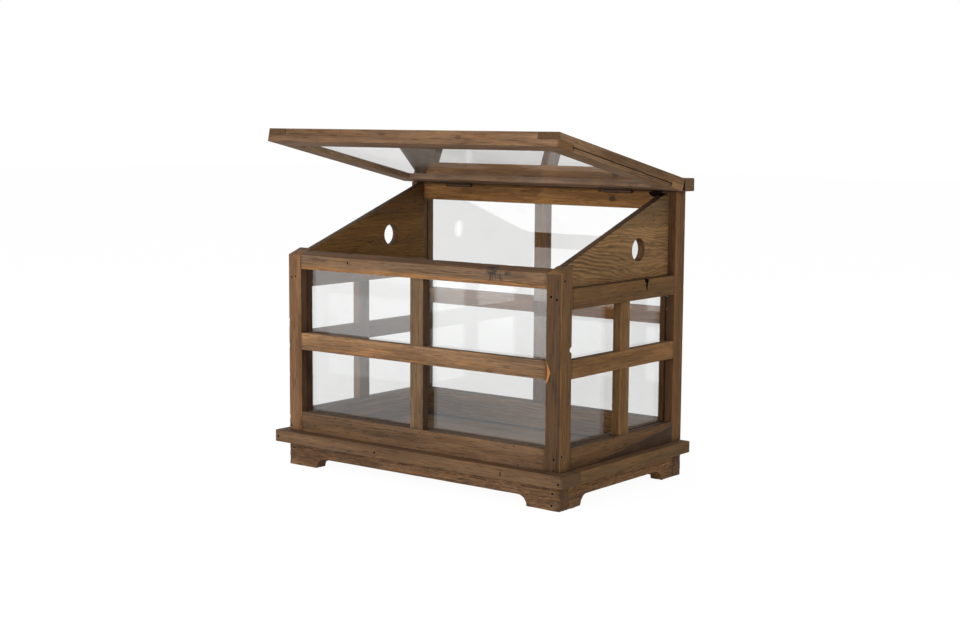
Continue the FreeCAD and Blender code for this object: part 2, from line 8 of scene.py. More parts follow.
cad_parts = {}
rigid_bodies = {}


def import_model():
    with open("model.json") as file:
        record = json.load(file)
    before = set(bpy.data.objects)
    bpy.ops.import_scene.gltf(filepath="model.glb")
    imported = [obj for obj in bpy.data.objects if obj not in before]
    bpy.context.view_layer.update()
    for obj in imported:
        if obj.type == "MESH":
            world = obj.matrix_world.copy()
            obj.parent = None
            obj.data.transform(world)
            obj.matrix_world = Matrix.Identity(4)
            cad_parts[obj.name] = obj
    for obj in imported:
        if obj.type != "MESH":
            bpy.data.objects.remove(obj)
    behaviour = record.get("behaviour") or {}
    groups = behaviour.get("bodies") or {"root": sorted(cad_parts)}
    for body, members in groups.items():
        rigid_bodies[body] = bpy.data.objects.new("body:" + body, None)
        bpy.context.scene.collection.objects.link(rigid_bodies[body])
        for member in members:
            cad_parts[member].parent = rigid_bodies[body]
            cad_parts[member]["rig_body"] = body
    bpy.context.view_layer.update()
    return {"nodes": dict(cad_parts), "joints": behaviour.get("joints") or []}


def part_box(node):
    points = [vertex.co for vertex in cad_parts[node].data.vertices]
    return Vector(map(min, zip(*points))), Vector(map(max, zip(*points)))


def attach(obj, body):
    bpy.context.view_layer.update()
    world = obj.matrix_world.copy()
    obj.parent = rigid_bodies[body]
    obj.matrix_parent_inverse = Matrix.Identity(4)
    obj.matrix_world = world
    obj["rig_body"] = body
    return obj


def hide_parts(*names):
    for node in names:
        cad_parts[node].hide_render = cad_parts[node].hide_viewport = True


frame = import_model()
nodes = frame["nodes"]
dice = random.Random(11)
mm = 0.001
over = 5 * mm  # how far a cutting tool runs past the wood
untinted = (1.0, 1.0, 1.0)

# lid pieces are drawn lying flat, then lifted about the hinge
axle = Vector(frame["joints"][0]["pos_m"])
paneNormal = max(nodes["lid_glass"].data.polygons, key=lambda side: side.area).normal
lidLift = math.atan2(abs(paneNormal.y), abs(paneNormal.z))
liftLid = Matrix.Translation(axle) @ Matrix.Rotation(-lidLift, 4, "X") @ Matrix.Translation(-axle)
layFlat = liftLid.inverted()


def paint(red, green, blue):
    parts = [part / 255 for part in (red, green, blue)]
    return tuple(p / 12.92 if p < 0.04045 else ((p + 0.055) / 1.055) ** 2.4 for p in parts) + (1.0,)


class Value:
    def __init__(self, maker, socket):
        self.maker = maker
        self.socket = socket

    def does(self, operation, *others):
        inputs = dict(enumerate((self,) + others))
        return self.maker.node("Math", {"operation": operation}, inputs)

    def other(self, name):
        return Value(self.maker, self.socket.node.outputs[name])

    def __add__(self, more):
        return self.does("ADD", more)

    def __sub__(self, less):
        return self.does("SUBTRACT", less)

    def __mul__(self, times):
        return self.does("MULTIPLY", times)

    def __truediv__(self, parts):
        return self.does("DIVIDE", parts)

    def __pow__(self, power):
        return self.does("POWER", power)

    def __rsub__(self, start):
        return self * -1.0 + start

    __radd__ = __add__


class Maker:
    def __init__(self, tree):
        self.tree = tree
        tree.nodes.clear()

    def node(self, kind, settings=None, inputs=None, output=0):
        made = self.tree.nodes.new("ShaderNode" + kind)
        for key, value in (settings or {}).items():
            setattr(made, key, value)
        for key, value in (inputs or {}).items():
            if isinstance(value, Value):
                self.tree.links.new(value.socket, made.inputs[key])
            else:
                made.inputs[key].default_value = value
        return Value(self, made.outputs[output]) if made.outputs else None

    def attribute(self, name):
        return self.node("Attribute", {"attribute_name": name}, output="Vector")

    def vector(self, operation, *parts):
        return self.node("VectorMath", {"operation": operation}, dict(enumerate(parts)))

    def split(self, vector):
        first = self.node("SeparateXYZ", inputs={0: vector})
        return first, first.other("Y"), first.other("Z")

    def scaled(self, colour, amount):
        return self.node("VectorMath", {"operation": "SCALE"}, {0: colour, "Scale": amount})

    def mixed(self, share, first, second):
        return self.node("Mix", {"data_type": "RGBA"}, {0: share, 6: first, 7: second}, 2)

    def noise(self, place, stretch, detail=2.0, rough=0.5):
        spread = self.vector("MULTIPLY", place, stretch)
        inputs = {"Vector": spread, "Scale": 1.0, "Detail": detail, "Roughness": rough}
        return self.node("TexNoise", inputs=inputs)

    def fade(self, value, low, high):
        inputs = {"Value": value, "From Min": low, "From Max": high}
        return self.node("MapRange", {"interpolation_type": "SMOOTHSTEP"}, inputs)

    def surface(self, shader):
        self.node("OutputMaterial", inputs={"Surface": shader})

    def principled(self, inputs):
        self.surface(self.node("BsdfPrincipled", inputs=inputs))


def makeMaterial(name):
    material = bpy.data.materials.new(name)
    material.use_nodes = True
    return material, Maker(material.node_tree)


# each noise in the wood: its stretch along, across and through the board, detail, roughness
grains = {
    "sway": ((9.0, 18.0, 18.0), 3.0, 0.5),
    "ripple": ((22.0, 150.0, 150.0), 2.0, 0.5),
    "swell": ((2.0, 75.0, 75.0), 1.0, 0.5),
    "fading": ((4.0, 30.0, 30.0), 2.0, 0.5),
    "fibre": ((16.0, 560.0, 560.0), 4.0, 0.7),
    "streak": ((6.0, 260.0, 260.0), 4.0, 0.7),
    "patch": ((5.0, 42.0, 42.0), 4.0, 0.62),
    "warmth": ((8.0, 95.0, 95.0), 3.0, 0.6),
    "grey": ((9.0, 70.0, 70.0), 3.0, 0.6),
    "dash": ((75.0, 420.0, 420.0), 3.0, 0.7),
    "check": ((34.0, 520.0, 520.0), 1.0, 0.5),
    "stain": ((13.0, 34.0, 34.0), 4.0, 0.65),
    "speck": ((120.0, 240.0, 240.0), 1.0, 0.5),
    "rubbed": ((30.0, 120.0, 120.0), 3.0, 0.6),
    "pores": ((300.0, 900.0, 900.0), 2.0, 0.5),
}


def makeWood(name, tone):
    material, maker = makeMaterial(name)
    local = maker.attribute("local")
    half = maker.attribute("half")
    seed = maker.attribute("seed")
    tint = maker.attribute("tint")
    pithSide, pithDepth, pithLean = maker.split(maker.attribute("pith"))
    place = maker.vector("ADD", local, seed)
    along, across, through = maker.split(local)

    def grain(kind, at=place):
        return maker.noise(at, *grains[kind])

    # growth rings about a pith line that leans through the board
    sway = grain("sway") - 0.5
    ripple = grain("ripple") - 0.5
    swell = grain("swell") - 0.5
    side = across + along * tone["tilt"] + pithSide + sway * (10 * mm)
    depth = through + pithDepth + along * pithLean
    rings = (side * side + depth * depth) ** 0.5 * tone["rings"]
    rings = rings + sway * tone["sway"] + swell * tone["swell"] + ripple * 0.5
    knotted = None
    for knot in tone.get("knots", []):
        reach = ((along - knot["along"]) / knot["stretch"]) ** 2.0 + (across - knot["across"]) ** 2.0
        if "through" in knot:
            reach = reach + (through - knot["through"]) ** 2.0
        far = reach ** 0.5 / knot["radius"]
        rings = rings + (1 - maker.fade(far, 0.6, 3.2)) * knot["bend"]
        core = (1 - maker.fade(far + ripple * 0.5, 0.55, 1.15)) * knot["dark"]
        knotted = core if knotted is None else knotted.does("MAXIMUM", core)
    year = rings.does("FRACT")
    late = maker.fade(year, tone["lineStart"], tone["lineFull"]) * (1 - maker.fade(year, 0.9, 1.0))
    fading = maker.fade(grain("fading"), 0.4, 0.62)
    late = late * (fading * (1 - tone["steady"]) + tone["steady"])
    # broad patches, warmer and greyer streaks, then the grain's lines
    patch = maker.fade(grain("patch"), 0.32, 0.68)
    colour = maker.mixed(patch, tone["deep"], tone["plain"])
    warmth = maker.fade(grain("warmth"), 0.5, 0.7) * tone["warmth"]
    colour = maker.mixed(warmth, colour, tone["orange"])
    grey = maker.fade(grain("grey"), 0.52, 0.72) * tone["grey"]
    colour = maker.mixed(grey, colour, tone["ash"])
    if "band" in tone:
        band = tone["band"]
        edge = across * band.get("side", 1.0) - along * band.get("lean", 0.0) + ripple * (4 * mm)
        inBand = 1 - maker.fade(edge, band["full"], band["gone"])
        colour = maker.mixed(inBand * band["share"], colour, band["colour"])
    colour = maker.scaled(colour, 1 - along * tone["drift"])
    colour = maker.mixed(late * tone["contrast"], colour, tone["line"])
    fibre = grain("fibre")
    streak = grain("streak")
    stripes = (streak - 0.5) * tone["streaks"] + (fibre - 0.5) * tone["fibres"]
    colour = maker.scaled(colour, stripes + 1.0)
    bend = ripple * (6 * mm)
    bent = maker.node("CombineXYZ", inputs={1: bend, 2: bend})
    dash = grain("dash", maker.vector("ADD", place, bent))
    colour = maker.scaled(colour, (dash - 0.5) * tone["dashes"] + 1.0)
    # short dark checks along the grain, stains, specks, knots and scuffs
    check = maker.fade(grain("check"), 0.6, 0.72)
    colour = maker.mixed(check * tone["checks"], colour, tone["line"])
    stain = maker.fade(grain("stain"), 0.58, 0.72) * tone["stain"]
    colour = maker.mixed(stain, colour, tone["stained"])
    speck = maker.fade(grain("speck"), 0.69, 0.76)
    colour = maker.mixed(speck * tone["specks"], colour, tone["specked"])
    if knotted:
        colour = maker.mixed(knotted, colour, tone["knotted"])
    for scuff in tone.get("scuffs", []):
        farAlong = ((along - scuff["along"]) / scuff["long"]).does("ABSOLUTE")
        farAcross = ((across - scuff["across"]) / scuff["wide"]).does("ABSOLUTE")
        inside = (1 - maker.fade(farAlong, 0.5, 1.0)) * (1 - maker.fade(farAcross, 0.4, 1.0))
        smudge = maker.fade(maker.noise(place, scuff["stretch"], 3.0, 0.6), 0.4, 0.62)
        colour = maker.mixed(inside * smudge * scuff["dark"], colour, tone["scuffed"])
    # rubbed edges, from the distance to the nearest arris
    inward = maker.vector("SUBTRACT", half, maker.vector("ABSOLUTE", local))
    toEnd, toEdge, toFace = maker.split(inward)
    lesser = toEnd.does("MINIMUM", toEdge)
    greater = toEnd.does("MAXIMUM", toEdge)
    arris = lesser.does("MAXIMUM", greater.does("MINIMUM", toFace))
    rubbed = maker.fade(grain("rubbed"), 0.45, 0.66)
    wear = (1 - maker.fade(arris, 0.3 * mm, 2.2 * mm)) * rubbed * tone["wear"]
    colour = maker.mixed(wear, colour, tone["worn"])
    # grime and painted shade gather towards the joints, and end grain drinks more stain
    endGrimeAndShade = (1 - maker.fade(toEnd + ripple * (4 * mm), 0.0, 6 * mm)) * 0.3
    endGrain = 1 - maker.fade(toEnd, 0.3 * mm, 0.8 * mm)
    pores = maker.fade(grain("pores"), 0.5, 0.66) * endGrain
    colour = maker.scaled(colour, 1 - endGrimeAndShade - pores * 0.45)
    ends = maker.scaled(tone["ends"][:3], 1 - pores * tone["porous"])
    colour = maker.mixed(endGrain * tone["endShare"], colour, ends)
    # painted shade: the floor panel darkens towards its long edges, along the walls
    if "rim" in tone:
        rim = 1 - maker.fade(toEdge, 9 * mm, 20 * mm)
        colour = maker.scaled(colour, 1 - rim * tone["rim"])
    colour = maker.vector("MULTIPLY", colour, tint)
    raised = fibre * 0.4 + streak * 0.7 + dash * tone["dashes"]
    height = raised - late * 0.4 - check * 0.8 - pores * 0.3
    bump = maker.node("Bump", inputs={"Strength": 0.6, "Distance": tone["relief"], "Height": height})
    inputs = {
        "Base Color": colour,
        "Roughness": 0.62 + fibre * 0.2 - wear * 0.08 + check * 0.1,
        "Normal": bump,
        "Specular IOR Level": 0.25,
    }
    maker.principled(inputs)
    return material


def makeGlass(name, tone):
    material, maker = makeMaterial(name)
    glance = maker.node("LayerWeight", inputs={"Blend": 0.5}, output="Facing")
    place = maker.node("TexCoord", output="Object")
    smear = maker.noise(place, (9.0, 9.0, 14.0), 4.0, 0.6)
    mirror = glance ** tone["edge"] * (1 - tone["mirror"]) + tone["mirror"]
    clear = maker.node("BsdfTransparent", inputs={"Color": tone["tint"]})
    # a low glance passes through more glass and comes out dimmer
    dim = maker.node("BsdfTransparent", inputs={"Color": tone["low"]})
    clear = maker.node("MixShader", inputs={0: maker.fade(glance, 0.45, 0.68), 1: clear, 2: dim})
    gloss = maker.node("BsdfGlossy", inputs={"Color": (1, 1, 1, 1), "Roughness": tone["blur"]})
    pane = maker.node("MixShader", inputs={0: mirror, 1: clear, 2: gloss})
    dust = maker.node("BsdfDiffuse", inputs={"Color": paint(205, 203, 196)})
    dusty = maker.fade(smear, 0.5, 0.8) * tone["dust"] + tone["film"]
    maker.surface(maker.node("MixShader", inputs={0: dusty, 1: pane, 2: dust}))
    return material


def makeSteel(name, tone):
    material, maker = makeMaterial(name)
    place = maker.node("TexCoord", output="Object")
    mottle = maker.noise(place, (320.0, 320.0, 320.0), 4.0, 0.6)
    rust = maker.fade(maker.noise(place, (140.0, 140.0, 140.0), 3.0), 0.5, 0.68) * tone["rust"]
    colour = maker.mixed(mottle, tone["dark"], tone["bright"])
    colour = maker.mixed(rust, colour, paint(92, 54, 30))
    inputs = {
        "Base Color": colour,
        "Metallic": 0.2 - rust * 0.2,
        "Roughness": mottle * 0.2 + rust * 0.2 + 0.5,
        "Normal": maker.node("Bump", inputs={"Strength": 0.3, "Distance": 0.2 * mm, "Height": mottle}),
    }
    maker.principled(inputs)
    return material


def makeHollow(name, tone):
    material, maker = makeMaterial(name)
    place = maker.node("TexCoord", output="Object")
    grit = maker.noise(place, (900.0, 900.0, 900.0), 2.0)
    colour = maker.mixed(grit, tone["dark"], tone["light"])
    maker.principled(
        {"Base Color": colour, "Roughness": grit * 0.2 + 0.75, "Specular IOR Level": 0.1}
    )
    return material


baseTone = {
    "deep": paint(98, 71, 44),
    "plain": paint(130, 98, 66),
    "orange": paint(146, 103, 56),
    "ash": paint(118, 98, 77),
    "line": paint(70, 49, 29),
    "worn": paint(158, 126, 90),
    "ends": paint(112, 78, 40),
    "stained": paint(48, 33, 21),
    "specked": paint(42, 28, 18),
    "knotted": paint(38, 25, 15),
    "scuffed": paint(40, 33, 30),
    "endShare": 0.7,
    "porous": 0.5,
    "rings": 240.0,
    "tilt": 0.0,
    "sway": 1.2,
    "swell": 1.8,
    "lineStart": 0.2,
    "lineFull": 0.88,
    "steady": 0.0,
    "contrast": 0.36,
    "streaks": 1.0,
    "fibres": 1.3,
    "dashes": 0.7,
    "warmth": 0.35,
    "grey": 0.3,
    "checks": 0.65,
    "stain": 0.25,
    "specks": 0.15,
    "wear": 0.28,
    "relief": 0.0006,
    "drift": 0.0,
}


def toned(name, **changes):
    return makeWood(name, {**baseTone, **changes})


lidKnot = {
    "along": 0.096,
    "across": -0.017,
    "through": 0.0005,
    "radius": 0.0032,
    "stretch": 2.0,
    "bend": 2.4,
    "dark": 0.45,
}
backKnot = {"along": 0.139, "across": -0.001, "radius": 0.0045, "stretch": 1.6, "bend": 1.6, "dark": 0.8}
backSpot = {"along": 0.117, "across": 0.0105, "radius": 0.0022, "stretch": 1.8, "bend": 0.5, "dark": 0.9}
# a dark rub mark on the front top rail, with short strokes running down from it
rubMark = {
    "along": 0.131,
    "across": 0.006,
    "long": 0.012,
    "wide": 0.007,
    "stretch": (90, 90, 90),
    "dark": 1.0,
}
rubTail = {
    "along": 0.150,
    "across": 0.004,
    "long": 0.02,
    "wide": 0.005,
    "stretch": (60, 120, 120),
    "dark": 0.85,
}
strokes = {
    "along": 0.140,
    "across": -0.002,
    "long": 0.016,
    "wide": 0.008,
    "stretch": (420, 30, 30),
    "dark": 0.9,
}
lowBand = {"full": -0.0095, "gone": -0.0055, "share": 0.65, "colour": paint(156, 104, 52)}
# painted shade: the right bottom rail darkens below a line that climbs towards the rear, the back rail
# along its top
shadeWedge = {"full": -0.0075, "gone": -0.004, "share": 0.72, "lean": 0.115, "colour": paint(52, 38, 24)}
topShadeBand = {"full": -0.0125, "gone": -0.0085, "share": 0.75, "side": -1.0, "colour": paint(44, 29, 16)}
dropKnot = {"along": 0.056, "across": -0.003, "radius": 0.006, "stretch": 1.3, "bend": 2.0, "dark": 0.1}
lidTone = {"plain": paint(136, 105, 75), "streaks": 0.55, "contrast": 0.25, "warmth": 0.25, "grey": 0.2}
backTone = {
    "orange": paint(150, 104, 50),
    "warmth": 0.6,
    "grey": 0.0,
    "stain": 0.45,
    "checks": 0.9,
    "specks": 0.6,
    "band": topShadeBand,
    "knots": [backKnot, backSpot],
}
ventBend = {"along": 0.05, "across": -0.02, "radius": 0.013, "stretch": 1.8, "bend": 2.2, "dark": 0.0}
floorTone = {
    "wear": 0.0,
    "contrast": 0.12,
    "streaks": 0.45,
    "fibres": 0.5,
    "dashes": 0.25,
    "checks": 0.2,
    "grey": 0.5,
    # painted shade towards the walls
    "rim": 0.65,
}
apronTone = {
    "dashes": 3.0,
    "streaks": 0.4,
    "stain": 0.3,
    "checks": 0.9,
    "relief": 0.0016,
    "warmth": 0.25,
    "endShare": 0.3,
    "contrast": 0.5,
}
baseStripTone = {
    "wear": 0.12,
    "contrast": 0.25,
    "streaks": 0.8,
    "sway": 0.6,
    "warmth": 0.2,
    "grey": 0.4,
    "specks": 0.4,
}
cheekTopTone = {
    "contrast": 0.4,
    "plain": paint(128, 98, 62),
    "deep": paint(104, 78, 48),
    "specks": 1.0,
    "dashes": 0.8,
}
cheekTone = {
    "plain": paint(160, 124, 80),
    "deep": paint(136, 103, 65),
    "line": paint(76, 54, 31),
    "rings": 205.0,
    "tilt": 0.05,
    "sway": 4.2,
    "swell": 1.2,
    "lineStart": 0.3,
    "lineFull": 0.7,
    "steady": 0.45,
    "contrast": 0.8,
    "streaks": 0.6,
    "fibres": 0.6,
    "warmth": 0.15,
    "grey": 0.15,
    "stain": 0.15,
    "knots": [ventBend],
}
woods = {
    "lid": toned("lidWood", **lidTone, ends=paint(134, 96, 48)),
    "lidFront": toned("lidFrontWood", **lidTone, ends=paint(134, 96, 48), knots=[lidKnot]),
    "lidStile": toned("lidStileWood", **lidTone, ends=paint(88, 60, 30), endShare=0.88, porous=0.9),
    "ridge": toned("ridgeWood", **lidTone, ends=paint(112, 84, 54), endShare=0.8, porous=0.9),
    "post": toned("postWood", streaks=0.6, ends=paint(70, 48, 30), endShare=0.85),
    "rail": toned("railWood"),
    "midRail": toned("midRailWood", warmth=0.7, dashes=0.8, checks=0.7, drift=1.1),
    "lowRail": toned("lowRailWood", specks=0.8, dashes=0.7),
    "sideLow": toned("sideLowWood", specks=0.5, dashes=0.7, band=shadeWedge),
    "topRail": toned("topRailWood", warmth=0.4, band=lowBand, scuffs=[rubMark, rubTail, strokes]),
    "sideTop": toned("sideTopWood", streaks=0.5, knots=[dropKnot]),
    "backRail": toned("backRailWood", **backTone),
    "cheek": toned("cheekWood", **cheekTone),
    "farCheek": toned("farCheekWood", **{**cheekTone, "contrast": 0.35, "streaks": 1.0}),
    "cheekTop": toned("cheekTopWood", **cheekTopTone),
    "apron": toned("apronWood", **apronTone),
    "base": toned("baseWood", **baseStripTone),
    "floor": toned("floorWood", **floorTone),
}
freshWood = makeHollow("freshWood", {"dark": paint(150, 98, 52), "light": paint(192, 136, 84)})
holeDark = makeHollow("holeDark", {"dark": paint(9, 6, 4), "light": paint(22, 15, 10)})
paneTone = {
    "mirror": 0.073,
    "edge": 5.0,
    "tint": (0.945, 0.948, 0.945, 1),
    "low": (0.85, 0.86, 0.85, 1),
    "blur": 0.0,
    "dust": 0.03,
    "film": 0.0,
}
sideTone = {**paneTone, "mirror": 0.043, "tint": (0.935, 0.938, 0.935, 1)}
lidPaneTone = {**paneTone, "mirror": 0.05, "edge": 2.4, "low": (0.73, 0.7, 0.68, 1), "film": 0.07}
paneGlass = makeGlass("paneGlass", paneTone)
sidePane = makeGlass("sidePane", sideTone)
lidPane = makeGlass("lidPane", lidPaneTone)
hingeTone = {"dark": paint(52, 36, 22), "bright": paint(82, 58, 36), "rust": 0.4}
nailTone = {"dark": paint(24, 21, 19), "bright": paint(58, 52, 47), "rust": 0.6}
hingeSteel = makeSteel("hingeSteel", hingeTone)
nailSteel = makeSteel("nailSteel", nailTone)
print("materials ready")


def boxOf(node):
    turn = layFlat if nodes[node]["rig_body"] == "lid" else Matrix.Identity(4)
    spots = [turn @ vertex.co for vertex in nodes[node].data.vertices]
    low = Vector([min(spot[i] for spot in spots) for i in range(3)])
    high = Vector([max(spot[i] for spot in spots) for i in range(3)])
    return low, high


def slab(low, high):
    shape = bmesh.new()
    bmesh.ops.create_cube(shape, size=1.0)
    bmesh.ops.scale(shape, vec=high - low, verts=shape.verts)
    bmesh.ops.translate(shape, vec=(low + high) / 2, verts=shape.verts)
    return shape


def everything(shape):
    return shape.verts[:] + shape.edges[:] + shape.faces[:]


def trimmed(shape, point, outward):
    cut = bmesh.ops.bisect_plane(
        shape, geom=everything(shape), dist=1e-6, plane_co=point, plane_no=outward, clear_outer=True
    )
    rim = [part for part in cut["geom_cut"] if isinstance(part, bmesh.types.BMEdge)]
    bmesh.ops.holes_fill(shape, edges=rim, sides=0)


def ringCuts(shape, axis, low, high, step):
    # cuts the faces across, so that they can be made uneven
    count = max(1, round((high[axis] - low[axis]) / step))
    outward = Vector([float(i == axis) for i in range(3)])
    for k in range(1, count):
        point = low.lerp(high, k / count)
        bmesh.ops.bisect_plane(
            shape, geom=everything(shape), dist=1e-6, plane_co=point, plane_no=outward
        )


def eased(shape, width, steps, choose=None):
    foldFrom = 0.35  # radians between the two faces of an edge
    sharp = [edge for edge in shape.edges if edge.calc_face_angle(0.0) > foldFrom]
    if choose:
        sharp = [edge for edge in sharp if choose((edge.verts[0].co + edge.verts[1].co) / 2)]
    bmesh.ops.bevel(
        shape,
        geom=sharp,
        offset=width,
        offset_type="OFFSET",
        segments=steps,
        profile=0.5,
        affect="EDGES",
        material=-1,
        clamp_overlap=True,
    )


def meshOf(shape, finishes):
    mesh = bpy.data.meshes.new("shape")
    bmesh.ops.recalc_face_normals(shape, faces=shape.faces)
    shape.to_mesh(mesh)
    shape.free()
    for finish in finishes:
        mesh.materials.append(finish)
    return mesh


def carved(shape, tools, finishes, finish=0):
    # tools are cut away together and leave faces of the chosen finish
    whole = bmesh.new()
    for tool in tools:
        for face in tool.faces:
            face.material_index = finish
        scrap = bpy.data.meshes.new("scrap")
        tool.to_mesh(scrap)
        tool.free()
        whole.from_mesh(scrap)
        bpy.data.meshes.remove(scrap)
    parts = [bpy.data.objects.new("part", meshOf(bm, finishes)) for bm in (shape, whole)]
    for part in parts:
        bpy.context.scene.collection.objects.link(part)
    cut = parts[0].modifiers.new("cut", "BOOLEAN")
    cut.operation = "DIFFERENCE"
    cut.solver = "EXACT"
    cut.use_self = True
    cut.object = parts[1]
    depsgraph = bpy.context.evaluated_depsgraph_get()
    result = bpy.data.meshes.new_from_object(parts[0].evaluated_get(depsgraph))
    after = bmesh.new()
    after.from_mesh(result)
    bpy.data.meshes.remove(result)
    for part in parts:
        mesh = part.data
        bpy.data.objects.remove(part)
        bpy.data.meshes.remove(mesh)
    return after


def unevened(shape, low, high, axis, amount, shift):
    # faces lie a hair inside the true size, unevenly along the board
    waves = 13
    apart = 9.7  # keeps the directions from moving together
    middle = (low + high) / 2
    for vertex in shape.verts:
        for i in range(3):
            if i == axis:
                continue
            at = vertex.co * waves + shift + Vector((i * apart, 0, 0))
            inward = amount * (0.5 + 0.5 * noise.noise(at))
            vertex.co[i] -= inward * (1 if vertex.co[i] > middle[i] else -1)


def rodCut(point, direction, radius, length, segments=16):
    tool = bmesh.new()
    bmesh.ops.create_cone(
        tool, cap_ends=True, segments=segments, radius1=radius, radius2=radius, depth=length
    )
    place = Matrix.Translation(point) @ direction.to_track_quat("Z", "Y").to_matrix().to_4x4()
    bmesh.ops.transform(tool, matrix=place, verts=tool.verts)
    return tool


def chipCut(point, size):
    lumpy = 0.25
    tool = bmesh.new()
    bmesh.ops.create_icosphere(tool, subdivisions=2, radius=1.0)
    for vertex in tool.verts:
        vertex.co *= 1 + lumpy * noise.noise(vertex.co * 2 + point * 300)
    place = Matrix.Translation(point) @ Matrix.Diagonal(size).to_4x4()
    bmesh.ops.transform(tool, matrix=place, verts=tool.verts)
    return tool


panes = ["front_glass", "back_glass", "left_glass", "right_glass"]
paneBoxes = [boxOf(pane) for pane in panes]
lidPaneBox = boxOf("lid_glass")


def overlaps(first, second):
    return all(first[0][i] < second[1][i] and second[0][i] < first[1][i] for i in range(3))


def grooveTools(low, high, isLid):
    gap = 0.1 * mm if isLid else 0.3 * mm
    room = Vector((gap, gap, gap))
    boxes = [lidPaneBox] if isLid else paneBoxes
    return [slab(b[0] - room, b[1] + room) for b in boxes if overlaps(b, (low, high))]


def edgeChips(low, high, axis, count):
    # small bruises along the four long edges
    chips = []
    others = [i for i in range(3) if i != axis]
    for _ in range(count):
        point = low.copy()
        point[axis] = low[axis] + dice.uniform(0.04, 0.96) * (high[axis] - low[axis])
        for i in others:
            point[i] = dice.choice((low[i], high[i]))
        size = Vector((mm, mm, mm)) * dice.uniform(0.6, 1.5)
        size[axis] *= dice.uniform(2.5, 6.0)
        chips.append(chipCut(point, size))
    return chips


def addPiece(name, mesh, node):
    piece = bpy.data.objects.new(name, mesh)
    bpy.context.scene.collection.objects.link(piece)
    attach(piece, nodes[node]["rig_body"])
    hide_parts(node)


def setVectors(mesh, name, values, domain="POINT"):
    layer = mesh.attributes.new(name, "FLOAT_VECTOR", domain)
    layer.data.foreach_set("vector", [part for value in values for part in value])


def sawn(shape, low, high, axis, amount, shift):
    # saw furrows run along the board on its four long faces
    fine = 150
    coarse = 18
    skin = 1.2 * mm
    middle = (low + high) / 2
    for vertex in shape.verts:
        stretched = vertex.co * fine
        stretched[axis] = vertex.co[axis] * coarse
        furrow = min(1.0, abs(noise.noise(stretched + shift)) * 1.6)
        for i in range(3):
            if i == axis:
                continue
            isOuter = abs(abs(vertex.co[i] - middle[i]) - (high[i] - low[i]) / 2) < skin
            if isOuter:
                vertex.co[i] -= amount * furrow * (1 if vertex.co[i] > middle[i] else -1)


usualBoard = {
    "within": {},
    "grow": {},
    "trims": [],
    "tools": [],
    "rounded": None,
    "ease": 0.7 * mm,
    "step": 14 * mm,
    "furrows": None,
    "uneven": 0.14 * mm,
    "chips": 5,
    "bites": [],
    "fresh": [],
    "holes": [],
    "pith": None,
    "tint": untinted,
    "sides": [],
}


def addBoard(name, given):
    board = {**usualBoard, **given}
    node = board["node"]
    isLid = nodes[node]["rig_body"] == "lid"
    low, high = boxOf(node)
    for i, (least, most) in board["within"].items():
        low[i] = max(low[i], least)
        high[i] = min(high[i], most)
    for i, more in board["grow"].items():
        high[i] += more
    axis = "xyz".index(board["along"])
    finishes = [board["wood"], freshWood, holeDark]
    shape = slab(low, high)
    for point, outward in board["trims"]:
        trimmed(shape, point, outward)
    if board["tools"]:
        shape = carved(shape, board["tools"], finishes)
    if board["rounded"]:
        eased(shape, board["rounded"]["radius"], 4, board["rounded"]["choose"])
    eased(shape, board["ease"], 2)
    ringCuts(shape, axis, low, high, board["step"])
    shift = Vector([dice.uniform(-40, 40) for _ in range(3)])
    if board["furrows"]:
        for i in range(3):
            if i != axis:
                ringCuts(shape, i, low, high, 3.5 * mm)
        sawn(shape, low, high, axis, board["furrows"], shift)
    unevened(shape, low, high, axis, board["uneven"], shift)
    grooves = grooveTools(low, high, isLid)
    chips = edgeChips(low, high, axis, board["chips"]) + board["bites"]
    for tools, finish in ((grooves, 0), (chips, 0), (board["fresh"], 1), (board["holes"], 2)):
        if tools:
            shape = carved(shape, tools, finishes, finish)
    mesh = meshOf(shape, finishes)
    # where each point lies in its own board, for the grain
    middle = (low + high) / 2
    others = sorted((i for i in range(3) if i != axis), key=lambda i: low[i] - high[i])
    order = [axis] + others
    half = [(high[i] - low[i]) / 2 for i in order]
    pith = (
        dice.choice((-1, 1)) * dice.uniform(0.04, 0.08),
        dice.uniform(0.01, 0.05),
        dice.uniform(-0.05, 0.05),
    )
    seed = [dice.uniform(-9, 9) for _ in range(3)]
    count = len(mesh.vertices)
    setVectors(mesh, "local", [[v.co[i] - middle[i] for i in order] for v in mesh.vertices])
    setVectors(mesh, "half", [half] * count)
    setVectors(mesh, "seed", [seed] * count)
    setVectors(mesh, "pith", [board["pith"] or pith] * count)
    tints = [board["tint"]] * len(mesh.loops)
    # painted light and shade: these side tints lighten or darken single faces by the way they look
    for choose, tint in board["sides"]:
        for face in mesh.polygons:
            if choose(face):
                for i in face.loop_indices:
                    tints[i] = tint
    setVectors(mesh, "tint", tints, "CORNER")
    for face in mesh.polygons:
        face.use_smooth = True
    mesh.set_sharp_from_angle(angle=math.radians(32))
    if isLid:
        mesh.transform(liftLid)
    addPiece(name, mesh, node)


def facing(x, y, z):
    # picks the faces that look this way, give or take twenty degrees
    direction = Vector((x, y, z)).normalized()
    return lambda face: face.normal.dot(direction) > 0.94


def spot(x, y, z):
    return Vector((x, y, z)) * mm


def nailHole(x, y, z, radius=1.5, into=(0, 1, 0)):
    # in millimetres, with half of the rod's length in the wood
    return rodCut(spot(x, y, z), Vector(into), radius * mm, 9 * mm)


# outer faces of the posts and the base strip, in millimetres
postFront = -155
postRight = 250
stripFront = -171

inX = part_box("post_front_right")[0].x
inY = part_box("post_rear_right")[0].y

# the sloping seat under the lid
postLow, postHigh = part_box("post_front_right")
frontTops = [v.co.z for v in nodes["post_front_right"].data.vertices if v.co.y < postLow.y + mm]
seatAngle = math.atan2(postHigh.z - max(frontTops), postHigh.y - postLow.y)
seatPoint = Vector((0, postLow.y, max(frontTops)))
seatOut = Vector((0, -math.sin(seatAngle), math.cos(seatAngle)))
